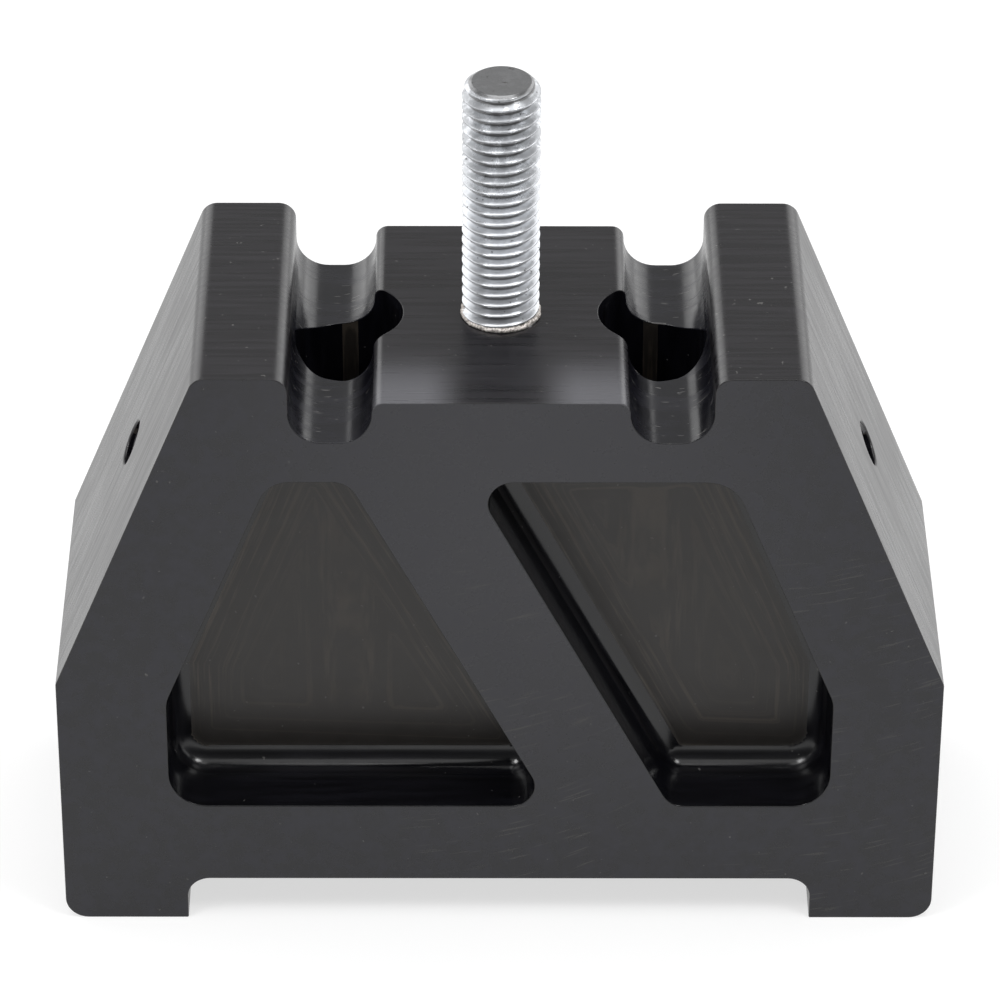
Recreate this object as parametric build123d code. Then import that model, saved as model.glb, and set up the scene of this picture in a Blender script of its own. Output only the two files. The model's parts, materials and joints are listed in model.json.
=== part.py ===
from build123d import *
import os
from math import cos, hypot, radians, tan

# Machined aluminium mounting block with a threaded stud in its top.
#
# The block is one prism milled from plate: two feet, upright flanks, sloped shoulders
# and a stepped top. Its section is constant from front to back, apart from the holes
# and the two pockets in the front face, which leave a slanting strut between them.
# Frame: millimetres, +Z up, X across the width, the pockets on the -Y face.
# The origin is on the ground between the feet, below the stud and at mid-depth.

# Outline of the block
block_width = 115.0
block_depth = 43.0
block_height = 85.0          # to the top of the two outer ridges
ridge_span = 77.0            # across the outer edges of the ridges
knee_height = 38.0           # where the upright flanks turn into the slopes
knee_radius = 1.0
foot_corner_radius = 3.0

# Clearance milled under the block, which leaves the two feet
recess_width = 82.5
recess_height = 6.5
recess_corner_radius = 3.0

# Stepped top: a central land between two channels, and a ridge outside each channel
land_drop = 3.5              # the land lies this far below the ridges
land_edge_radius = 1.6
ridge_edge_radius = 2.25
channel_spacing = 43.0       # between the centres of the two channels
channel_width = 10.5
channel_depth = 6.0          # below the land
channel_corner_radius = 4.25
channel_wall_flat = 0.1      # least upright wall left between two rounded edges

# Pockets in the front face
pocket_depth = 10.0
rim_wall = 14.25             # left beside the flanks and slopes
base_web = 12.0              # left above the recess
top_web = 6.0                # left below the channels
strut_width = 14.0
strut_angle = 27.0           # from upright, leaning to the left
strut_offset = 1.5           # of its middle, to the right of the centre
flank_corner_radius = 5.0    # pocket corners beside the flanks and the right slope
top_corner_radius = 4.0      # the left pocket's upper corner beside the left slope
strut_corner_radius = 3.25   # pocket corners beside the strut
pocket_floor_radius = 3.0    # round the floor, a little under the corners beside it

# Upright bores for posts, one beside each channel
post_bore_diameter = 14.0
post_bore_spacing = 39.0

# Threaded holes for the set screws that lock the posts, square to the slopes
screw_diameter = 6.0
screw_mouth_chamfer = 0.2

# Stud, screwed into a blind hole in the land
stud_diameter = 10.0
stud_pitch = 1.5
stud_exposed = 34.0
stud_engaged = 25.0
stud_chamfer = 1.2
stud_hole_runout = 4.0       # empty depth left under the stud
stud_mouth_clearance = 0.2   # of the hole's countersink, round the stud's thread

# Worked out from the sizes above
half_width = block_width / 2
half_ridge_span = ridge_span / 2
slope_run = half_width - half_ridge_span
slope_rise = block_height - knee_height
slope_length = hypot(slope_run, slope_rise)
slope_middle_x = half_width - slope_run / 2
land_height = block_height - land_drop
channel_floor_height = land_height - channel_depth
channel_inner = (channel_spacing - channel_width) / 2
channel_outer = (channel_spacing + channel_width) / 2
stud_root_diameter = stud_diameter - stud_pitch


def rounded_face(corners):
    """Flat face inside a closed outline, from its corners given as (point, radius)."""
    points = [point for point, radius in corners]
    radii = [radius for point, radius in corners]
    with BuildSketch() as face:
        with BuildLine():
            FilletPolyline(*points, radius=radii, close=True)
        make_face()
    return face.sketch


def block_corners():
    """Corners of the block's section, seen from the front."""
    channel_wall = channel_depth - land_edge_radius - channel_wall_flat
    channel_radius = min(channel_corner_radius, channel_wall)
    right_half = [
        ((recess_width / 2, recess_height), recess_corner_radius),
        ((recess_width / 2, 0), 0),
        ((half_width, 0), foot_corner_radius),
        ((half_width, knee_height), knee_radius),
        ((half_ridge_span, block_height), ridge_edge_radius),
        ((channel_outer, block_height), ridge_edge_radius),
        ((channel_outer, channel_floor_height), channel_radius),
        ((channel_inner, channel_floor_height), channel_radius),
        ((channel_inner, land_height), land_edge_radius),
    ]
    left_half = [((-x, z), radius) for (x, z), radius in reversed(right_half)]
    return right_half + left_half


def pocket_corners():
    """Corners of the left and of the right pocket, seen from the front."""
    low = recess_height + base_web
    high = channel_floor_height - top_web
    flank = half_width - rim_wall
    slope_lean = slope_run / slope_rise
    slope_wall = rim_wall * slope_length / slope_rise
    turn = knee_height + (half_width - slope_wall - flank) / slope_lean
    top = half_width - slope_wall - (high - knee_height) * slope_lean
    strut_half = strut_width / 2 / cos(radians(strut_angle))
    strut_reach = (high - low) / 2 * tan(radians(strut_angle))
    strut_low = strut_offset + strut_reach
    strut_high = strut_offset - strut_reach
    left = [
        ((-flank, low), flank_corner_radius),
        ((strut_low - strut_half, low), strut_corner_radius),
        ((strut_high - strut_half, high), strut_corner_radius),
        ((-top, high), top_corner_radius),
        ((-flank, turn), flank_corner_radius),
    ]
    right = [
        ((strut_low + strut_half, low), strut_corner_radius),
        ((flank, low), flank_corner_radius),
        ((flank, turn), flank_corner_radius),
        ((top, high), flank_corner_radius),
        ((strut_high + strut_half, high), strut_corner_radius),
    ]
    return left, right


def pocket_cutter(corners):
    """Solid that cuts one pocket, with its floor rounded all the way round."""
    with BuildPart() as cutter:
        with BuildSketch(Plane.XZ.offset(block_depth / 2)):
            add(rounded_face(corners))
        extrude(amount=-pocket_depth)
        floor = cutter.faces().sort_by(Axis.Y)[-1]
        fillet(floor.edges(), pocket_floor_radius)
    return cutter.part


def screw_hole_cutter(side):
    """Solid that cuts a set screw's hole from a slope to its post bore's axis."""
    mouth = Plane(
        origin=(side * slope_middle_x, 0, knee_height + slope_rise / 2),
        x_dir=(0, 1, 0),
        z_dir=(side * slope_rise, 0, slope_run),
    )
    radius = screw_diameter / 2
    to_bore_axis = (slope_middle_x - post_bore_spacing / 2) * slope_length / slope_rise
    with BuildPart() as cutter:
        with BuildSketch(mouth):
            Circle(radius)
        extrude(amount=-to_bore_axis)
        with Locations(mouth.offset(-screw_mouth_chamfer / 2)):
            Cone(radius, radius + screw_mouth_chamfer, screw_mouth_chamfer)
    return cutter.part


def make_block():
    """The milled block, with its pockets, post bores, screw holes and stud hole."""
    half_spacing = post_bore_spacing / 2
    with BuildPart() as block:
        with BuildSketch(Plane.XZ):
            add(rounded_face(block_corners()))
        extrude(amount=block_depth / 2, both=True)

        for corners in pocket_corners():
            add(pocket_cutter(corners), mode=Mode.SUBTRACT)

        with BuildSketch(Plane.XY):
            with Locations((-half_spacing, 0), (half_spacing, 0)):
                Circle(post_bore_diameter / 2)
        extrude(amount=block_height, mode=Mode.SUBTRACT)

        for side in (-1, 1):
            add(screw_hole_cutter(side), mode=Mode.SUBTRACT)

        with Locations((0, 0, land_height)):
            CounterSinkHole(
                radius=stud_root_diameter / 2,
                counter_sink_radius=stud_diameter / 2 + stud_mouth_clearance,
                depth=stud_engaged + stud_hole_runout,
                counter_sink_angle=90,
            )
    return block.part


def make_stud():
    """The stud; its engaged thread is drawn at root size, so that it fills its hole."""
    with BuildPart() as stud:
        with BuildSketch(Plane.XY.offset(land_height)):
            Circle(stud_root_diameter / 2)
        extrude(amount=-stud_engaged)
        with BuildSketch(Plane.XY.offset(land_height)):
            Circle(stud_diameter / 2)
        extrude(amount=stud_exposed)
        rims = stud.edges().filter_by(GeomType.CIRCLE).sort_by(Axis.Z)
        chamfer([rims[0], rims[-1]], stud_chamfer)
    return stud.part


os.makedirs("parts", exist_ok=True)
nodes = {
    "mounting_block": make_block(),
    "threaded_stud": make_stud(),
}
for name, solid in nodes.items():
    solid.label = name
    export_step(solid, f"parts/{name}.step")
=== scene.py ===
"""Machined mounting block: finishes, threads and studio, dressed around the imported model."""

import json
import math

import bmesh
import bpy
import numpy as np
from bpy.props import FloatProperty, FloatVectorProperty, IntProperty, PointerProperty
from mathutils import Matrix, Vector, noise


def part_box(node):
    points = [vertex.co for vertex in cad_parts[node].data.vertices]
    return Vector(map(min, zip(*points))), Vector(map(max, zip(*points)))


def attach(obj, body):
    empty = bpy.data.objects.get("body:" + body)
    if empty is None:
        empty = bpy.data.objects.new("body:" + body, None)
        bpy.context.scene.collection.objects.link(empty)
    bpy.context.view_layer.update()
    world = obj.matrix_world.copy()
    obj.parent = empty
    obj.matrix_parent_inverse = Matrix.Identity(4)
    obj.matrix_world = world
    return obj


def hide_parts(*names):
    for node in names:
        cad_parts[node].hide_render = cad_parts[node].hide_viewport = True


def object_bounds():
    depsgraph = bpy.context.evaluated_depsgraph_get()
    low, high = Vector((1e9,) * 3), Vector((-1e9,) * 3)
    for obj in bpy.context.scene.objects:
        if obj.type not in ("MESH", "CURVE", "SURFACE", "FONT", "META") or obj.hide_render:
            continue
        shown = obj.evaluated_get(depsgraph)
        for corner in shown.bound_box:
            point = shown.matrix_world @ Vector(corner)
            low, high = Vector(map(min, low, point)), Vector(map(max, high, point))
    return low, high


bl_info = {
    "name": "Machined mounting block",
    "version": (1, 0, 0),
    "blender": (4, 5, 0),
    "location": "3D View > Sidebar > Mounting block",
    "description": "Finishes, threads and a small studio for a machined mounting block",
    "category": "Object",
}

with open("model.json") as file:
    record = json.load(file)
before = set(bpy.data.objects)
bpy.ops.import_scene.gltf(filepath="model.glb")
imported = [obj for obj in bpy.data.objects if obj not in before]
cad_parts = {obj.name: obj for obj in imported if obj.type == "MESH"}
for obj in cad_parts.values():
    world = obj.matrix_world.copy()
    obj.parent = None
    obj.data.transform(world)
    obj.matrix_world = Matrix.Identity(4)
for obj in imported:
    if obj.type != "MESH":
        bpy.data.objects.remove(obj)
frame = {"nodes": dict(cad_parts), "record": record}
cad_low, cad_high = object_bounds()

MM = 0.001
BLOCK = "mounting_block"
STUD = "threaded_stud"

block_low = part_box(BLOCK)[0]
stud_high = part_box(STUD)[1]
mounts = {mount["name"]: mount for mount in frame["record"]["mounts"]}
openings = {space["name"]: space["box_m"] for space in frame["record"]["physics"]["openings"]}
land_height = mounts["top_land"]["pos_m"][2]


# ---------------------------------------------------------------- settings

class BlockSettings(bpy.types.PropertyGroup):
    """Finish of the milled block."""

    edge_break: FloatProperty(
        name="Edge break",
        description="Width taken off each sharp edge",
        default=0.2 * MM,
        min=0.0,
        precision=5,
        unit="LENGTH",
    )
    anodised: FloatVectorProperty(
        name="Anodised colour",
        description="Colour of the dyed surface",
        default=(0.0052, 0.0052, 0.0075),
        subtype="COLOR",
    )
    bare: FloatVectorProperty(
        name="Bare metal",
        description="Colour of the aluminium where the dye is rubbed off",
        default=(0.72, 0.70, 0.68),
        subtype="COLOR",
    )


class StudSettings(bpy.types.PropertyGroup):
    """Thread and plating of the stud."""

    pitch: FloatProperty(
        name="Pitch",
        description="Distance from one thread to the next",
        default=1.5 * MM,
        precision=5,
        unit="LENGTH",
    )
    sides: IntProperty(
        name="Steps round the thread",
        description="Mesh columns round the stud",
        default=112,
        min=24,
    )
    end_flat: FloatProperty(
        name="End flat",
        description="Diameter of the flat on the stud's end",
        default=7.5 * MM,
        precision=5,
        unit="LENGTH",
    )
    plating: FloatVectorProperty(
        name="Plating",
        description="Colour of the zinc",
        default=(0.70, 0.72, 0.75),
        subtype="COLOR",
    )


class ScrewHoleSettings(bpy.types.PropertyGroup):
    """Thread in the two holes for set screws."""

    pitch: FloatProperty(
        name="Pitch",
        description="Distance from one thread to the next",
        default=1.0 * MM,
        precision=5,
        unit="LENGTH",
    )
    thread_depth: FloatProperty(
        name="Thread depth",
        description="Height of the thread's ridge, from the hole's wall",
        default=0.5 * MM,
        precision=5,
        unit="LENGTH",
    )


class StudioSettings(bpy.types.PropertyGroup):
    """Camera, lamps and floor."""

    lens: FloatProperty(
        name="Lens",
        description="Focal length, for a 36 mm sensor",
        default=200.38,
        subtype="DISTANCE_CAMERA",
    )
    distance: FloatProperty(
        name="Distance",
        description="From the camera to the middle of the block",
        default=0.72968,
        precision=4,
        unit="LENGTH",
    )
    pitch: FloatProperty(
        name="Look down",
        description="How far the camera looks down",
        default=math.radians(33.8715),
        subtype="ANGLE",
    )
    yaw: FloatProperty(
        name="Yaw",
        description="How far the camera turns to its right",
        default=math.radians(0.365),
        subtype="ANGLE",
    )
    roll: FloatProperty(
        name="Roll",
        description="How far the camera leans",
        default=math.radians(0.2701),
        subtype="ANGLE",
    )
    aim_height: FloatProperty(
        name="Aim height",
        description="Height above the floor that the camera looks at",
        default=52.498 * MM,
        precision=5,
        unit="LENGTH",
    )
    side_light: FloatProperty(
        name="Side lamps",
        description="Power of each lamp at the side",
        default=5.0,
        unit="POWER",
    )
    spark: FloatProperty(
        name="Small side lamps",
        description="Power of the small lamp at each side, for glints",
        default=2.4,
        unit="POWER",
    )
    front_light: FloatProperty(
        name="Front lamp",
        description="Power of the lamp above the front",
        default=1.2,
        unit="POWER",
    )
    top_light: FloatProperty(
        name="Top lamp",
        description="Power of the lamp overhead",
        default=5.0,
        unit="POWER",
    )


# ---------------------------------------------------------------- node helpers

class Nodes:
    """A node tree being filled: each call adds one node and joins its inputs."""

    def __init__(self, tree):
        self.tree = tree

    def add(self, kind, inputs=None, **settings):
        node = self.tree.nodes.new(kind)
        for name, value in settings.items():
            setattr(node, name, value)
        for name, value in (inputs or {}).items():
            self.join(value, node.inputs[name])
        return node

    def join(self, value, socket):
        if isinstance(value, bpy.types.NodeSocket):
            self.tree.links.new(value, socket)
        else:
            socket.default_value = value

    def math(self, operation, *values):
        inputs = dict(enumerate(values))
        return self.add("ShaderNodeMath", inputs, operation=operation).outputs[0]

    def vector(self, operation, *values):
        inputs = dict(enumerate(values))
        node = self.add("ShaderNodeVectorMath", inputs, operation=operation)
        return node.outputs["Value" if operation in ("LENGTH", "DOT_PRODUCT") else "Vector"]

    def ramp(self, value, low, high, to_low=0.0, to_high=1.0, smooth=True):
        """The value's place between low and high, as a number from to_low to to_high."""
        inputs = {"Value": value, "From Min": low, "From Max": high}
        inputs.update({"To Min": to_low, "To Max": to_high})
        kind = "SMOOTHSTEP" if smooth else "LINEAR"
        return self.add("ShaderNodeMapRange", inputs, interpolation_type=kind).outputs["Result"]

    def mix(self, share, first, second):
        node = self.add("ShaderNodeMix", data_type="RGBA")
        self.join(share, node.inputs["Factor"])
        self.join(first, node.inputs[6])
        self.join(second, node.inputs[7])
        return node.outputs[2]

    def noise(self, vector, scale=1.0, detail=2.0, roughness=0.5):
        inputs = {"Vector": vector, "Scale": scale, "Detail": detail, "Roughness": roughness}
        return self.add("ShaderNodeTexNoise", inputs).outputs["Fac"]

    def place(self):
        return self.add("ShaderNodeTexCoord").outputs["Object"]

    def split(self, vector):
        return self.add("ShaderNodeSeparateXYZ", {"Vector": vector}).outputs

    def group(self, name, **inputs):
        node = self.add("ShaderNodeGroup", node_tree=bpy.data.node_groups[name])
        for key, value in inputs.items():
            self.join(value, node.inputs[key.replace("_", " ").capitalize()])
        return node.outputs


def new_group(name, inputs, outputs):
    """An empty node group. Inputs are (name, kind, default), outputs are (name, kind)."""
    tree = bpy.data.node_groups.new(name, "ShaderNodeTree")
    for label, kind, default in inputs:
        socket = tree.interface.new_socket(label, in_out="INPUT", socket_type=kind)
        socket.default_value = default
    for label, kind in outputs:
        tree.interface.new_socket(label, in_out="OUTPUT", socket_type=kind)
    nodes = Nodes(tree)
    start = nodes.add("NodeGroupInput").outputs
    end = nodes.add("NodeGroupOutput").inputs
    return nodes, start, end


def make_grain_group():
    """Fine lines drawn out along one direction: few cycles along it, many across it."""
    nodes, given, result = new_group(
        "Drawn grain",
        [("Cycles", "NodeSocketVector", (300.0, 300.0, 300.0)), ("Drift", "NodeSocketFloat", 0.3)],
        [("Height", "NodeSocketFloat"), ("Streak", "NodeSocketFloat")],
    )
    place = nodes.place()
    stretched = nodes.vector("MULTIPLY", place, given["Cycles"])
    bend = nodes.noise(place, scale=90.0, detail=1.0)
    offset = nodes.math("MULTIPLY", bend, given["Drift"])
    moved = nodes.vector("ADD", stretched, offset)
    nodes.join(nodes.noise(moved, detail=2.0, roughness=0.5), result["Height"])
    coarse = nodes.vector("MULTIPLY", moved, (0.33, 0.33, 0.33))
    nodes.join(nodes.noise(coarse, detail=3.0, roughness=0.6), result["Streak"])


def make_speck_group():
    """Small bright flecks, such as dust and tiny bare spots."""
    nodes, given, result = new_group(
        "Flecks",
        [("Cycles", "NodeSocketVector", (900.0, 900.0, 900.0)), ("Rarity", "NodeSocketFloat", 0.72)],
        [("Mask", "NodeSocketFloat")],
    )
    moved = nodes.vector("MULTIPLY", nodes.place(), given["Cycles"])
    value = nodes.noise(moved, detail=1.0)
    high = nodes.math("ADD", given["Rarity"], 0.06)
    nodes.join(nodes.ramp(value, given["Rarity"], high), result["Mask"])


def make_cloud_group():
    """Broad soft patches that vary a finish slowly over the surface."""
    nodes, given, result = new_group(
        "Soft patches",
        [("Cycles", "NodeSocketFloat", 40.0)],
        [("Value", "NodeSocketFloat")],
    )
    value = nodes.noise(nodes.place(), scale=given["Cycles"], detail=3.0, roughness=0.6)
    nodes.join(nodes.ramp(value, 0.3, 0.7), result["Value"])


# ---------------------------------------------------------------- materials

def new_material(name):
    """A material with an empty Principled shader, and the nodes to fill it with."""
    material = bpy.data.materials.new(name)
    material.use_nodes = True
    material.node_tree.nodes.clear()
    nodes = Nodes(material.node_tree)
    shader = nodes.add("ShaderNodeBsdfPrincipled")
    output = nodes.add("ShaderNodeOutputMaterial")
    nodes.join(shader.outputs["BSDF"], output.inputs["Surface"])
    return material, nodes, shader.inputs


def bump(nodes, height, distance):
    """A normal from a height that varies by the given distance, in metres."""
    node = nodes.add("ShaderNodeBump", {"Height": height, "Distance": distance})
    return node.outputs["Normal"]


def opaque(colour, gain=1.0):
    """A colour made lighter or darker by the gain, with full alpha."""
    return [channel * gain for channel in colour] + [1.0]


def anodised(name, settings, cycles, roughness=(0.2, 0.34), relief=0.0012 * MM, tint=(1, 1, 1),
             streak_gain=2.2, fleck_cycles=(1300.0, 1300.0, 1300.0), rarity=0.73):
    """Dyed anodising over tool marks that run along the direction with the fewest cycles."""
    patch_cycles = 45.0
    patch_share, streak_share = 0.35, 0.65
    fleck_gain, fleck_share = 0.22, 0.5
    material, nodes, shader = new_material(name)
    grain = nodes.group("Drawn grain", cycles=cycles)
    flecks = nodes.group("Flecks", cycles=fleck_cycles, rarity=rarity)["Mask"]
    cloud = nodes.group("Soft patches", cycles=patch_cycles)["Value"]
    tinted = [c * t for c, t in zip(settings.anodised, tint)]
    streak = nodes.ramp(grain["Streak"], 0.35, 0.7)
    colour = nodes.mix(streak, opaque(tinted), opaque(tinted, streak_gain))
    share = nodes.math("MULTIPLY", flecks, fleck_share)
    colour = nodes.mix(share, colour, opaque(settings.bare, fleck_gain))
    nodes.join(colour, shader["Base Color"])
    drawn = nodes.math("MULTIPLY", streak, streak_share)
    mixed = nodes.math("MULTIPLY_ADD", cloud, patch_share, drawn)
    nodes.join(nodes.ramp(mixed, 0.0, 1.0, *roughness, smooth=False), shader["Roughness"])
    nodes.join(bump(nodes, grain["Height"], relief), shader["Normal"])
    shader["IOR"].default_value = 1.5
    return material, nodes, shader, colour


def contour_finish(settings):
    """Lines that follow the block's outline, and a painted highlight, a pale sheen at the land's
    front corners.
    """
    past_stud = (4 * MM, 10 * MM)
    before_channel = (17 * MM, 15 * MM)
    forward = (-8 * MM, -20 * MM)
    up_to_land = (79 * MM, 81 * MM)
    # Colour of the painted highlight on the land's front corners.
    pale = (0.1, 0.1, 0.11, 1.0)
    material, nodes, shader, colour = anodised(
        "anodised_contour", settings, (170.0, 4200.0, 170.0), roughness=(0.24, 0.36),
        tint=(1.3, 1.2, 1.0),
    )
    x, y, z = nodes.split(nodes.place())
    outward = nodes.math("ABSOLUTE", x)
    beside = nodes.math("MULTIPLY", nodes.ramp(outward, *past_stud),
                        nodes.ramp(outward, *before_channel))
    front = nodes.math("MULTIPLY", nodes.ramp(y, *forward), nodes.ramp(z, *up_to_land))
    # Painted highlight: a mask over the land's front corners, beside the stud and short of the
    # channels.
    painted_sheen = nodes.math("MULTIPLY", beside, front)
    nodes.join(nodes.mix(painted_sheen, colour, pale), shader["Base Color"])
    return material


def milled_face_finish(settings):
    """Front and back faces: a painted highlight makes them paler in the middle and towards the top,
    with faint arcs left by a facing cutter.
    """
    material, nodes, shader, colour = anodised(
        "anodised_milled_face", settings, (1500.0, 1500.0, 1500.0), roughness=(0.24, 0.34),
        relief=0.001 * MM, tint=(1.0, 1.0, 1.12),
    )
    x, _, z = nodes.split(nodes.place())
    strokes = cutter_strokes(nodes, x, z)
    scratched = scratched_zone(nodes, x, z)
    # Colour of the painted highlight in the face's middle.
    pale = (0.026, 0.026, 0.032, 1.0)
    scratch_gain, scratch_share = 0.07, 0.8
    # Painted highlight: paler in the middle of the face, fading out towards the foot.
    outward = nodes.math("ABSOLUTE", nodes.math("SUBTRACT", x, 3 * MM))
    middle = nodes.math("MULTIPLY", nodes.ramp(outward, 50 * MM, 4 * MM),
                        nodes.ramp(z, 0.0, 62 * MM))
    colour = nodes.mix(middle, colour, pale)
    mask = nodes.math("MULTIPLY", nodes.ramp(strokes, 0.62, 0.72), scratched)
    share = nodes.math("MULTIPLY", mask, scratch_share)
    scratch = opaque(settings.bare, scratch_gain)
    nodes.join(nodes.mix(share, colour, scratch), shader["Base Color"])
    return material


def cutter_strokes(nodes, x, z):
    """Noise drawn out along the arcs of a facing cutter, which made two passes."""
    radius = 72.0 * MM
    first_pass, second_pass, seam = -18.0 * MM, 30.0 * MM, 27.0 * MM
    arc_cycles, along_cycles = 2600.0, 150.0
    side = nodes.ramp(x, seam - 1.0 * MM, seam + 1.0 * MM)
    centre = nodes.ramp(side, 0.0, 1.0, first_pass, second_pass, smooth=False)
    across = nodes.math("SUBTRACT", x, centre)
    squared = nodes.math("MULTIPLY", across, across)
    drop = nodes.math("SQRT", nodes.math("SUBTRACT", radius * radius, squared))
    arc = nodes.math("ADD", z, drop)
    swirl = nodes.add("ShaderNodeCombineXYZ", {
        "X": nodes.math("MULTIPLY", arc, arc_cycles),
        "Y": nodes.math("MULTIPLY", x, along_cycles),
    }).outputs[0]
    return nodes.noise(swirl, detail=1.0)


def scratched_zone(nodes, x, z):
    """Where the front face is scratched: patches on the strut and on the right rim."""
    rim_share = 0.85
    patches = nodes.noise(nodes.place(), scale=60.0, detail=1.0)
    strut = nodes.math("MULTIPLY", nodes.ramp(x, -16 * MM, -6 * MM),
                       nodes.ramp(x, 20 * MM, 12 * MM))
    rim = nodes.math("MULTIPLY", nodes.ramp(x, 28 * MM, 34 * MM), rim_share)
    below_top = nodes.ramp(z, 62 * MM, 54 * MM)
    zone = nodes.math("MULTIPLY", nodes.math("MAXIMUM", strut, rim), below_top)
    return nodes.math("MULTIPLY", nodes.ramp(patches, 0.36, 0.56), zone)


def pocket_floor_finish(settings):
    """Pocket floors, with cutter marks that run parallel to the walls."""
    ring_cycles, waver_cycles = 1500.0, 60.0
    mark = (0.085, 0.07, 0.055, 1.0)
    mark_share = 0.7
    material, nodes, shader, colour = anodised(
        "anodised_pocket_floor", settings, (1500.0, 1500.0, 1500.0), roughness=(0.34, 0.42),
        relief=0.001 * MM, tint=(3.6, 3.1, 1.9), streak_gain=1.1,
    )
    wall = nodes.add("ShaderNodeAttribute", attribute_name="from_wall").outputs["Fac"]
    rings = nodes.math("MULTIPLY", wall, ring_cycles)
    ring = nodes.add("ShaderNodeCombineXYZ", {"X": rings}).outputs[0]
    waver = nodes.vector("MULTIPLY", nodes.place(), (waver_cycles,) * 3)
    lines = nodes.noise(nodes.vector("ADD", ring, waver), detail=3.0, roughness=0.7)
    near = nodes.ramp(wall, 9.0 * MM, 1.0 * MM, 0.15, 1.0)
    marked = nodes.math("MULTIPLY", nodes.ramp(lines, 0.47, 0.68), near)
    share = nodes.math("MULTIPLY", marked, mark_share)
    nodes.join(nodes.mix(share, colour, mark), shader["Base Color"])
    return material


def pocket_wall_finish(settings):
    """Pocket walls and their rounded feet: glossy, with steps left by the cutter."""
    return anodised("anodised_pocket_wall", settings, (250.0, 3000.0, 250.0), roughness=(0.12, 0.26),
                    relief=0.003 * MM, tint=(0.5, 0.5, 0.5), rarity=0.76)[0]


def channel_finish(settings):
    """Channels in the top, with ripples across them and small scuffs."""
    return anodised("anodised_channel", settings, (260.0, 1700.0, 260.0), roughness=(0.18, 0.34),
                    relief=0.004 * MM, rarity=0.68, fleck_cycles=(500.0, 1900.0, 500.0))[0]


def bore_finish(settings):
    """Walls of the bores, with turned rings."""
    return anodised("anodised_bore", settings, (120.0, 120.0, 3200.0), roughness=(0.2, 0.34))[0]


def worn_edge_finish(settings):
    """Broken edges, where the dye is rubbed through to bare metal in places."""
    fine_share, broad_share = 0.6, 0.4
    unworn_limit, wear_gain = 0.68, 0.34
    material, nodes, shader = new_material("worn_edge")
    amount = nodes.add("ShaderNodeAttribute", attribute_name="rubbed").outputs["Fac"]
    fine = nodes.noise(nodes.place(), scale=1500.0, detail=3.0, roughness=0.7)
    broad = nodes.noise(nodes.place(), scale=160.0, detail=2.0)
    value = nodes.math("ADD", nodes.math("MULTIPLY", fine, fine_share),
                       nodes.math("MULTIPLY", broad, broad_share))
    limit = nodes.math("SUBTRACT", unworn_limit, nodes.math("MULTIPLY", amount, wear_gain))
    above = nodes.math("SUBTRACT", value, limit)
    mask = nodes.ramp(above, -0.04, 0.05)
    colour = nodes.mix(mask, opaque(settings.anodised), opaque(settings.bare))
    nodes.join(colour, shader["Base Color"])
    nodes.join(mask, shader["Metallic"])
    nodes.join(nodes.ramp(mask, 0.0, 1.0, 0.22, 0.4), shader["Roughness"])
    nodes.join(bump(nodes, fine, 0.006 * MM), shader["Normal"])
    return material


def zinc_finish(settings):
    """Zinc plating, with mottling that darkens towards the stud's end, and painted shade in the
    roots of the thread.
    """
    darker_from, darker_to = 92.0 * MM, 112.0 * MM
    root_outer, root_inner = 4.3 * MM, 4.1 * MM
    end_face = (stud_high.z - 0.1 * MM, stud_high.z - 0.5 * MM)
    dull_gain = 0.35
    root_shade_share, pit_share = 0.7, 0.8
    # Dark colour for the pits, and for the painted shade in the roots of the thread.
    pit_and_shade = (0.05, 0.045, 0.04, 1.0)
    material, nodes, shader = new_material("zinc_plating")
    place = nodes.place()
    x, y, z = nodes.split(place)
    squares = nodes.math("ADD", nodes.math("MULTIPLY", x, x), nodes.math("MULTIPLY", y, y))
    radial = nodes.math("SQRT", squares)
    upper = nodes.ramp(z, darker_from, darker_to)
    upper = nodes.math("MULTIPLY", upper, nodes.ramp(z, *end_face, 0.3, 1.0))
    mottle = nodes.noise(place, scale=700.0, detail=4.0, roughness=0.65)
    spots = nodes.noise(place, scale=1500.0, detail=2.0)
    # Painted shade: the roots of the thread are darkened.
    root = nodes.ramp(radial, root_outer, root_inner)
    dirt = nodes.ramp(mottle, 0.62, 0.46)
    dark_mottle = nodes.math("MULTIPLY", dirt, nodes.ramp(upper, 0.0, 1.0, 0.1, 0.6))
    pit = nodes.ramp(spots, 0.68, 0.74)
    colour = nodes.mix(dark_mottle, opaque(settings.plating), opaque(settings.plating, dull_gain))
    colour = nodes.mix(nodes.math("MULTIPLY", root, root_shade_share), colour, pit_and_shade)
    colour = nodes.mix(nodes.math("MULTIPLY", pit, pit_share), colour, pit_and_shade)
    nodes.join(colour, shader["Base Color"])
    shader["Metallic"].default_value = 0.7
    rough = nodes.math("ADD", nodes.math("MULTIPLY", dark_mottle, 0.2),
                       nodes.math("MULTIPLY", mottle, 0.25))
    nodes.join(nodes.math("ADD", rough, 0.1), shader["Roughness"])
    nodes.join(bump(nodes, mottle, 0.03 * MM), shader["Normal"])
    return material


def burr_finish():
    """Bare, torn metal round the foot of the stud."""
    light = (0.78, 0.74, 0.70, 1.0)
    dark = (0.22, 0.19, 0.17, 1.0)
    material, nodes, shader = new_material("torn_burr")
    fine = nodes.noise(nodes.place(), scale=3000.0, detail=3.0, roughness=0.7)
    nodes.join(nodes.mix(nodes.ramp(fine, 0.35, 0.6), dark, light), shader["Base Color"])
    nodes.join(nodes.ramp(fine, 0.3, 0.7, 0.35, 0.6), shader["Roughness"])
    shader["Metallic"].default_value = 0.7
    nodes.join(bump(nodes, fine, 0.05 * MM), shader["Normal"])
    return material


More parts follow.
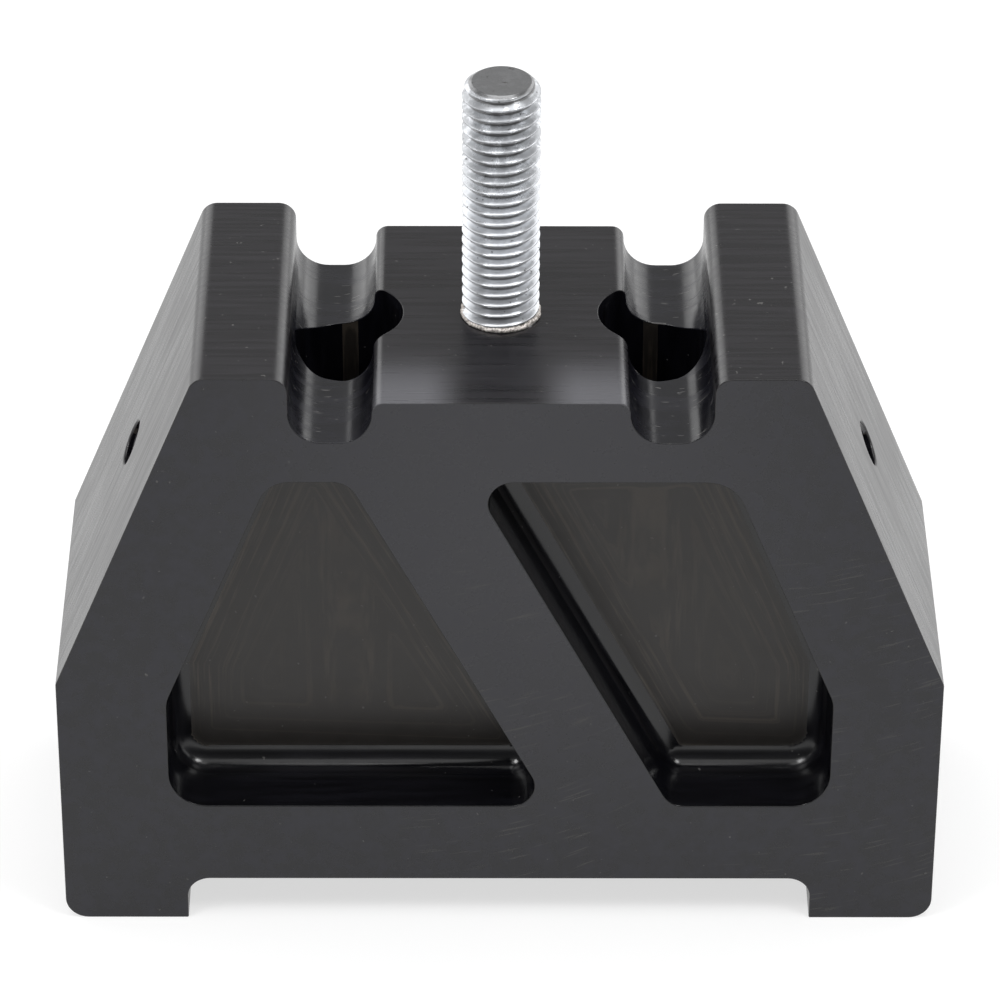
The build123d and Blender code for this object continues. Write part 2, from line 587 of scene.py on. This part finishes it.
def floor_finish():
    """A pale floor that reads as white and keeps soft shadows."""
    pale, paler = (0.37, 0.37, 0.37, 1.0), (0.39, 0.39, 0.39, 1.0)
    lift = 0.65
    material, nodes, shader = new_material("pale_floor")
    value = nodes.noise(nodes.place(), scale=12.0, detail=2.0)
    nodes.join(nodes.mix(value, pale, paler), shader["Base Color"])
    shader["Roughness"].default_value = 0.9
    shader["Specular IOR Level"].default_value = 0.0
    path = nodes.add("ShaderNodeLightPath").outputs
    seen = nodes.math("MAXIMUM", path["Is Camera Ray"], path["Is Glossy Ray"])
    seen = nodes.math("MAXIMUM", seen, path["Is Transmission Ray"])
    shader["Emission Color"].default_value = (1.0, 1.0, 1.0, 1.0)
    nodes.join(nodes.math("MULTIPLY", seen, lift), shader["Emission Strength"])
    return material


# ---------------------------------------------------------------- meshes

def add_object(name, mesh):
    piece = bpy.data.objects.new(name, mesh)
    bpy.context.scene.collection.objects.link(piece)
    return piece


def clean_copy(node, name):
    """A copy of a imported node's mesh, joined up and with its flat faces whole."""
    mesh = node.data.copy()
    mesh.name = name
    mesh.materials.clear()
    tidy = bmesh.new()
    tidy.from_mesh(mesh)
    bmesh.ops.remove_doubles(tidy, verts=tidy.verts, dist=0.001 * MM)
    bmesh.ops.dissolve_limit(tidy, angle_limit=math.radians(0.3), verts=tidy.verts,
                             edges=tidy.edges, delimit={"NORMAL"})
    return mesh, tidy


FINISHES = ("contour", "milled_face", "pocket_floor", "pocket_wall", "channel", "bore", "edge")


def inside_bore(point, mount, slack):
    """Whether a point lies in the round hole that a mount names."""
    offset = point - Vector(mount["pos_m"])
    axis = Vector(mount["axis"]).normalized()
    along = offset.dot(axis)
    radius = (offset - axis * along).length
    length = mount["dims"]["length_mm"] * MM
    return abs(along) < length and radius < mount["dims"]["r_mm"] * MM + slack


def choose_finish(face, hindmost):
    """The finish of one face of the block, from where it lies and which way it points."""
    normal = face.normal
    middle = face.calc_center_median()
    if abs(normal.y) > 0.99:
        at_face = abs(middle.y) > abs(block_low.y) - 0.2 * MM
        return "milled_face" if at_face else "pocket_floor"
    if middle.y < hindmost + 0.2 * MM and beside_pocket(middle, normal):
        return "pocket_wall"
    for mount in mounts.values():
        if mount["kind"] in ("bore", "threaded_hole") and inside_bore(middle, mount, 0.03 * MM):
            if abs(normal.dot(Vector(mount["axis"]).normalized())) < 0.05:
                return "bore"
    if middle.xy.length < 5.3 * MM and middle.z < land_height - 0.05 * MM:
        return "bore"
    for side in ("left_channel", "right_channel"):
        low, high = openings[side]
        across = low[0] - 2 * MM < middle.x < high[0] + 2 * MM
        if across and low[2] - 2 * MM < middle.z < land_height - 1.0 * MM:
            return "channel"
    return "contour"


def beside_pocket(middle, normal):
    """Whether a face at this place belongs to the walls and rounded floors of the pockets."""
    margin = 6 * MM
    knee_height, lean = 38 * MM, 0.4
    low, high = openings["left_pocket_low"][0][2], openings["right_pocket_high"][1][2]
    if not low - margin < middle.z < high + margin:
        return False
    reach = abs(openings["left_pocket_low"][0][0]) + margin
    if abs(middle.x) < reach and abs(normal.y) > 0.002:
        return True
    return abs(middle.x) < reach - max(0.0, middle.z - knee_height) * lean


def build_block_mesh(settings):
    """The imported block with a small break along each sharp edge, and a finish on each face."""
    mesh, tidy = clean_copy(frame["nodes"][BLOCK], "block_finish")
    hindmost = max(f.calc_center_median().y for f in tidy.faces if f.normal.y < -0.99)
    bmesh.ops.dissolve_degenerate(tidy, edges=tidy.edges, dist=0.02 * MM)
    sharp = [edge for edge in tidy.edges if edge.calc_face_angle(0.0) > math.radians(28)]
    bevelled = bmesh.ops.bevel(tidy, geom=sharp, offset=settings.edge_break, offset_type="WIDTH",
                               segments=2, profile=0.5, affect="EDGES", clamp_overlap=False)
    edge_faces = set(bevelled["faces"])
    rubbed = tidy.faces.layers.float.new("rubbed")
    for face in tidy.faces:
        name = "edge" if face in edge_faces else choose_finish(face, hindmost)
        face.material_index = FINISHES.index(name)
        face.smooth = True
        if name == "edge":
            face[rubbed] = edge_wear(face.calc_center_median())
    split_floor(tidy)
    tidy.to_mesh(mesh)
    tidy.free()
    return mesh


def edge_wear(middle):
    """How far an edge is rubbed: most along the top's front edges, then round the pockets."""
    top_wear, rim_wear, other_wear = 0.95, 0.62, 0.4
    margin = 1 * MM
    rim_low = openings["left_pocket_low"][0][2] - margin
    rim_high = openings["right_pocket_high"][1][2] + margin
    rim_reach = abs(openings["left_pocket_low"][0][0]) + margin
    if middle.y >= block_low.y + 0.5 * MM:
        return other_wear
    if middle.z > rim_high:
        return top_wear
    at_rim = abs(middle.x) < rim_reach and rim_low < middle.z < rim_high
    return rim_wear if at_rim else other_wear


def split_floor(tidy):
    """Gives the pocket floors a fine mesh that holds each point's distance from the wall."""
    longest = 1.6 * MM
    rounds = 5
    slot = FINISHES.index("pocket_floor")
    floors = [f for f in tidy.faces if f.material_index == slot]
    outline = [e for f in floors for e in f.edges if any(g not in floors for g in e.link_faces)]
    segments = np.array([[tuple(v.co) for v in e.verts] for e in outline])
    flat = bmesh.ops.triangulate(tidy, faces=floors)["faces"]
    inner = inner_edges(flat)
    for _ in range(rounds):
        long_edges = [e for e in inner if e.is_valid and e.calc_length() > longest]
        if not long_edges:
            break
        bmesh.ops.subdivide_edges(tidy, edges=long_edges, cuts=1)
        flat = [f for f in tidy.faces if f.material_index == slot]
        flat = bmesh.ops.triangulate(tidy, faces=flat)["faces"]
        inner = inner_edges(flat)
    layer = tidy.verts.layers.float.new("from_wall")
    start = segments[:, 0]
    span = segments[:, 1] - start
    length = np.maximum((span * span).sum(1), 1e-12)
    for vertex in {v for f in flat for v in f.verts}:
        point = np.array(vertex.co)
        share = np.clip(((point - start) * span).sum(1) / length, 0, 1)
        gap = np.linalg.norm(start + span * share[:, None] - point, axis=1)
        vertex[layer] = float(gap.min())


def inner_edges(faces):
    """The edges that lie between two of the given faces."""
    chosen = set(faces)
    return {e for f in faces for e in f.edges if all(g in chosen for g in e.link_faces)}


def helix_mesh(name, profile, pitch, sides, low, high, shape):
    """A closed tube whose radius follows a thread's profile, cut off at low and high."""
    turns = math.ceil((high - low) / pitch) + 2
    steps = len(profile)
    rows = []
    for turn in range(-2, turns):
        rows += [(turn + share, radius) for share, radius in profile]
    points = []
    for share, radius in rows:
        for column in range(sides):
            angle = 2 * math.pi * column / sides
            height = min(max(low + pitch * (share + column / sides), low), high)
            reach = shape(height, radius)
            points.append((reach * math.cos(angle), reach * math.sin(angle), height))
    faces = []
    count = len(rows)
    for row in range(count - 1):
        for column in range(sides):
            after = column + 1
            if after < sides:
                here, there = row * sides + column, row * sides + after
                faces.append((here, there, there + sides, here + sides))
            elif row + 1 + steps < count:
                here, there = row * sides + column, (row + steps) * sides
                faces.append((here, there, there + sides, here + sides))
    mesh = bpy.data.meshes.new(name)
    mesh.from_pydata(points, [], faces)
    return mesh


def build_stud_mesh(settings):
    """The stud above the land, with its rolled thread and chamfered end."""
    major = mounts["stud"]["dims"]["r_mm"] * MM - 0.02 * MM
    pitch = settings.pitch
    flank = pitch / math.tan(math.radians(30))
    crest = [(0.0, 0.0), (0.035, 0.005), (0.07, 0.035), (0.1, 0.09)]
    half = [(share, major - drop * MM) for share, drop in crest]
    share, radius = half[-1]
    half += [(0.25, radius - 0.15 * flank), (0.39, radius - 0.29 * flank)]
    root = half[-1][1] - 0.09 * MM
    half += [(0.44, root + 0.03 * MM)]
    profile = half + [(0.5, root)] + [(1 - s, r) for s, r in reversed(half[1:])]
    top = stud_high.z

    def shape(height, radius):
        """The thread's radius, within the rounded lip and the chamfer at the stud's end."""
        below = top - height
        lip = settings.end_flat / 2 + below * 1.4
        chamfer = 4.35 * MM + below * 0.45
        return min(radius, lip, chamfer)

    start = land_height - 0.3 * MM
    mesh = helix_mesh("stud_thread", profile, pitch, settings.sides, start, top, shape)
    tidy = bmesh.new()
    tidy.from_mesh(mesh)
    bmesh.ops.remove_doubles(tidy, verts=tidy.verts, dist=0.002 * MM)
    bmesh.ops.dissolve_degenerate(tidy, edges=tidy.edges, dist=0.001 * MM)
    rims = [e for e in tidy.edges if e.is_boundary]
    bmesh.ops.holes_fill(tidy, edges=rims, sides=0)
    bmesh.ops.recalc_face_normals(tidy, faces=tidy.faces)
    for face in tidy.faces:
        face.smooth = len(face.verts) <= 4
    tidy.to_mesh(mesh)
    tidy.free()
    return mesh


def build_burr_mesh():
    """A thin, ragged lip of metal raised round the foot of the stud."""
    sides = 240
    section = [(4.2, 0.0, 0.0), (5.08, 0.0, 0.10), (5.16, 0.16, 0.14), (5.1, 0.38, 0.12),
               (4.95, 0.6, 0.1), (4.7, 0.7, 0.05), (4.2, 0.6, 0.0)]
    points = []
    for column in range(sides):
        angle = 2 * math.pi * column / sides
        for row, (radius, height, wobble) in enumerate(section):
            seed = Vector((math.cos(angle) * 9, math.sin(angle) * 9, row * 0.9))
            coarse = noise.noise(seed * 0.5)
            fine = noise.noise(seed * 2.5)
            reach = radius + wobble * (coarse * 1.2 + fine * 0.8)
            rise = height * (1 + 0.35 * coarse + 0.3 * fine) if row else 0.0
            points.append((reach * MM * math.cos(angle), reach * MM * math.sin(angle),
                           land_height + rise * MM))
    rows = len(section)
    faces = []
    for column in range(sides):
        after = (column + 1) % sides
        for row in range(rows):
            up = (row + 1) % rows
            here, there = column * rows, after * rows
            faces.append((here + row, there + row, there + up, here + up))
    mesh = bpy.data.meshes.new("stud_burr")
    mesh.from_pydata(points, [], faces)
    tidy = bmesh.new()
    tidy.from_mesh(mesh)
    bmesh.ops.recalc_face_normals(tidy, faces=tidy.faces)
    for face in tidy.faces:
        face.smooth = True
    tidy.to_mesh(mesh)
    tidy.free()
    return mesh


def build_screw_thread_mesh(name, mount, settings):
    """The helical ridge that a tap leaves in a screw hole, from its mouth to the post bore."""
    axis = Vector(mount["axis"]).normalized()
    radius = mount["dims"]["r_mm"] * MM
    turn = axis.to_track_quat("Z", "Y").to_matrix().to_4x4()
    mouth = screw_mouth(mount)
    sides = 48
    pitch = settings.pitch
    depth = settings.thread_depth
    section = [(0.0, -0.42), (-depth, -0.08), (-depth, 0.08), (0.0, 0.42)]
    length = mount["dims"]["length_mm"] * MM - 1.6 * MM
    turns = int(length / pitch)
    points = []
    for step in range(turns * sides + 1):
        angle = 2 * math.pi * step / sides
        along = -0.6 * MM - pitch * step / sides
        for inward, offset in section:
            reach = radius + inward + (0.02 * MM if inward == 0 else 0.0)
            points.append((reach * math.cos(angle), reach * math.sin(angle), along + offset * pitch))
    rows = len(section)
    faces = []
    for step in range(turns * sides):
        for row in range(rows):
            up = (row + 1) % rows
            here, there = step * rows, (step + 1) * rows
            faces.append((here + row, here + up, there + up, there + row))
    faces.append(tuple(range(rows)))
    faces.append(tuple(turns * sides * rows + row for row in reversed(range(rows))))
    mesh = bpy.data.meshes.new(name)
    mesh.from_pydata(points, [], faces)
    mesh.transform(Matrix.Translation(mouth) @ turn)
    tidy = bmesh.new()
    tidy.from_mesh(mesh)
    bmesh.ops.recalc_face_normals(tidy, faces=tidy.faces)
    tidy.to_mesh(mesh)
    tidy.free()
    return mesh


def screw_mouth(mount):
    """Middle of a screw hole's mouth, where its axis leaves the block."""
    axis = Vector(mount["axis"]).normalized()
    start = Vector(mount["pos_m"])
    radius = mount["dims"]["r_mm"] * MM
    slack, furthest = 0.3 * MM, 20 * MM
    ends = []
    for vertex in frame["nodes"][BLOCK].data.vertices:
        offset = vertex.co - start
        along = offset.dot(axis)
        if abs((offset - axis * along).length - radius) < slack and along < furthest:
            ends.append(along)
    return start + axis * max(ends)


# ---------------------------------------------------------------- operators

class MOUNTINGBLOCK_OT_effects(bpy.types.Operator):
    """Builds the shared finish effects that the materials use"""

    bl_idname = "mounting_block.effects"
    bl_label = "Finish effects"

    def execute(self, context):
        make_grain_group()
        make_speck_group()
        make_cloud_group()
        return {"FINISHED"}


class MOUNTINGBLOCK_OT_block(bpy.types.Operator):
    """Dresses the milled block with broken edges and its anodised finishes"""

    bl_idname = "mounting_block.block"
    bl_label = "Milled block"

    def execute(self, context):
        settings = context.scene.mounting_block
        mesh = build_block_mesh(settings)
        makers = (contour_finish, milled_face_finish, pocket_floor_finish, pocket_wall_finish,
                  channel_finish, bore_finish, worn_edge_finish)
        for make in makers:
            mesh.materials.append(make(settings))
        piece = add_object("milled_block", mesh)
        weighted = piece.modifiers.new("Even shading", "WEIGHTED_NORMAL")
        weighted.keep_sharp = True
        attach(piece, "root")
        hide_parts(BLOCK)
        return {"FINISHED"}


class MOUNTINGBLOCK_OT_stud(bpy.types.Operator):
    """Makes the threaded stud and the torn lip round its foot"""

    bl_idname = "mounting_block.stud"
    bl_label = "Threaded stud"

    def execute(self, context):
        settings = context.scene.mounting_block_stud
        mesh = build_stud_mesh(settings)
        mesh.materials.append(zinc_finish(settings))
        piece = add_object("stud_thread", mesh)
        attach(piece, "root")
        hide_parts(STUD)
        burr = build_burr_mesh()
        burr.materials.append(burr_finish())
        lip = add_object("stud_burr", burr)
        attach(lip, "root")
        return {"FINISHED"}


class MOUNTINGBLOCK_OT_screw_holes(bpy.types.Operator):
    """Cuts the thread in the two set screw holes"""

    bl_idname = "mounting_block.screw_holes"
    bl_label = "Screw hole threads"

    def execute(self, context):
        settings = context.scene.mounting_block_screws
        finish = bpy.data.materials["anodised_bore"]
        for side in ("left", "right"):
            mount = mounts[side + "_screw_hole"]
            mesh = build_screw_thread_mesh(side + "_screw_thread", mount, settings)
            mesh.materials.append(finish)
            piece = add_object(side + "_screw_thread", mesh)
            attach(piece, "root")
        return {"FINISHED"}


def add_panel_lamp(name, direction, distance, width, height, power):
    """A soft rectangular lamp that faces the block from the given direction."""
    lamp = bpy.data.lights.new(name, "AREA")
    lamp.shape = "RECTANGLE"
    lamp.size = width
    lamp.size_y = height
    lamp.energy = power
    holder = add_object(name, lamp)
    aim = Vector((0, 0, 0.05))
    outward = Vector(direction).normalized()
    holder.location = aim + outward * distance
    holder.rotation_euler = outward.to_track_quat("Z", "Y").to_euler()
    holder.visible_camera = False
    return holder


class MOUNTINGBLOCK_OT_studio(bpy.types.Operator):
    """Sets up the camera, the lamps, the world and the pale floor"""

    bl_idname = "mounting_block.studio"
    bl_label = "Studio"

    def execute(self, context):
        settings = context.scene.mounting_block_studio
        self.add_camera(context, settings)
        self.add_floor()
        self.add_lamps(settings)
        self.add_world(context)
        context.scene.view_settings.view_transform = "Standard"
        return {"FINISHED"}

    def add_camera(self, context, settings):
        pitch, yaw, roll = settings.pitch, settings.yaw, settings.roll
        level_ahead = Vector((math.sin(yaw), math.cos(yaw), 0))
        ahead = level_ahead * math.cos(pitch) - Vector((0, 0, math.sin(pitch)))
        level = Vector((math.cos(yaw), -math.sin(yaw), 0))
        upward = level.cross(ahead)
        right = level * math.cos(roll) + upward * math.sin(roll)
        top = upward * math.cos(roll) - level * math.sin(roll)
        camera = bpy.data.cameras.new("camera")
        camera.lens = settings.lens
        camera.sensor_width = 36.0
        camera.clip_start = 0.01
        camera.clip_end = 100.0
        holder = add_object("camera", camera)
        turn = Matrix((right, top, -ahead)).transposed().to_4x4()
        aim = Vector((0.0363 * MM, 0, settings.aim_height))
        place = aim - ahead * settings.distance
        holder.matrix_world = Matrix.Translation(place) @ turn
        context.scene.camera = holder

    def add_floor(self):
        reach = 6.0
        mesh = bpy.data.meshes.new("floor")
        corners = [(-reach, -reach), (reach, -reach), (reach, reach), (-reach, reach)]
        mesh.from_pydata([(x, y, cad_low.z) for x, y in corners], [], [(0, 1, 2, 3)])
        mesh.materials.append(floor_finish())
        add_object("floor", mesh)

    def add_lamps(self, settings):
        for side, name in ((-1, "left"), (1, "right")):
            beside, above = (side * 0.87, 0.36, 0.36), (side * 0.5, -0.35, 0.79)
            add_panel_lamp(name + "_lamp", beside, 1.0, 1.9, 0.66, settings.side_light)
            add_panel_lamp(name + "_spark", above, 1.0, 0.25, 0.25, settings.spark)
        add_panel_lamp("top_lamp", (0.0, 0.0, 1.0), 1.1, 0.9, 0.7, settings.top_light)
        add_panel_lamp("front_lamp", (0.0, -0.5, 0.86), 1.0, 1.2, 0.3, settings.front_light)

    def add_world(self, context):
        world = bpy.data.worlds.new("studio")
        world.use_nodes = True
        world.node_tree.nodes.clear()
        nodes = Nodes(world.node_tree)
        way = nodes.split(nodes.add("ShaderNodeTexCoord").outputs["Generated"])
        backdrop = ((0.0, 1.0), (0.14, 0.85), (0.42, 0.52), (0.62, 0.46), (0.78, 0.14), (1.0, 0.3))
        dark_room = ((0.0, 0.9), (0.09, 0.3), (0.35, 0.12), (1.0, 0.3))
        behind = self.add_sky(nodes, way["Z"], backdrop)
        ahead = self.add_sky(nodes, way["Z"], dark_room)
        sky = nodes.mix(nodes.ramp(way["Y"], -0.3, 0.3), ahead, behind)
        background = nodes.add("ShaderNodeBackground", {"Color": sky})
        output = nodes.add("ShaderNodeOutputWorld")
        nodes.join(background.outputs["Background"], output.inputs["Surface"])
        context.scene.world = world

    def add_sky(self, nodes, height, stops):
        """Grey levels of the studio's walls, from the floor (0) to overhead (1)."""
        ramp = nodes.add("ShaderNodeValToRGB", {"Fac": height})
        elements = ramp.color_ramp.elements
        for place, level in stops[1:-1]:
            elements.new(place)
        for element, (place, level) in zip(elements, stops):
            element.position = place
            element.color = (level, level, level, 1.0)
        return ramp.outputs["Color"]


class MOUNTINGBLOCK_PT_sidebar(bpy.types.Panel):
    """Lists the steps that dress the block"""

    bl_idname = "MOUNTINGBLOCK_PT_sidebar"
    bl_label = "Mounting block"
    bl_space_type = "VIEW_3D"
    bl_region_type = "UI"
    bl_category = "Mounting block"

    def draw(self, context):
        scene = context.scene
        for group in (scene.mounting_block, scene.mounting_block_stud,
                      scene.mounting_block_screws, scene.mounting_block_studio):
            box = self.layout.box()
            for name in group.__annotations__:
                box.prop(group, name)
        for step in STEPS:
            self.layout.operator(step.bl_idname)


STEPS = (
    MOUNTINGBLOCK_OT_effects,
    MOUNTINGBLOCK_OT_block,
    MOUNTINGBLOCK_OT_stud,
    MOUNTINGBLOCK_OT_screw_holes,
    MOUNTINGBLOCK_OT_studio,
)
GROUPS = {
    "mounting_block": BlockSettings,
    "mounting_block_stud": StudSettings,
    "mounting_block_screws": ScrewHoleSettings,
    "mounting_block_studio": StudioSettings,
}


def register():
    for kind in (*GROUPS.values(), *STEPS, MOUNTINGBLOCK_PT_sidebar):
        bpy.utils.register_class(kind)
    for name, kind in GROUPS.items():
        setattr(bpy.types.Scene, name, PointerProperty(type=kind))


def unregister():
    for name in GROUPS:
        delattr(bpy.types.Scene, name)
    for kind in (MOUNTINGBLOCK_PT_sidebar, *reversed(STEPS), *GROUPS.values()):
        bpy.utils.unregister_class(kind)


def main():
    register()
    bpy.ops.mounting_block.effects()
    bpy.ops.mounting_block.block()
    bpy.ops.mounting_block.stud()
    bpy.ops.mounting_block.screw_holes()
    bpy.ops.mounting_block.studio()


if __name__ == "__main__":
    main()
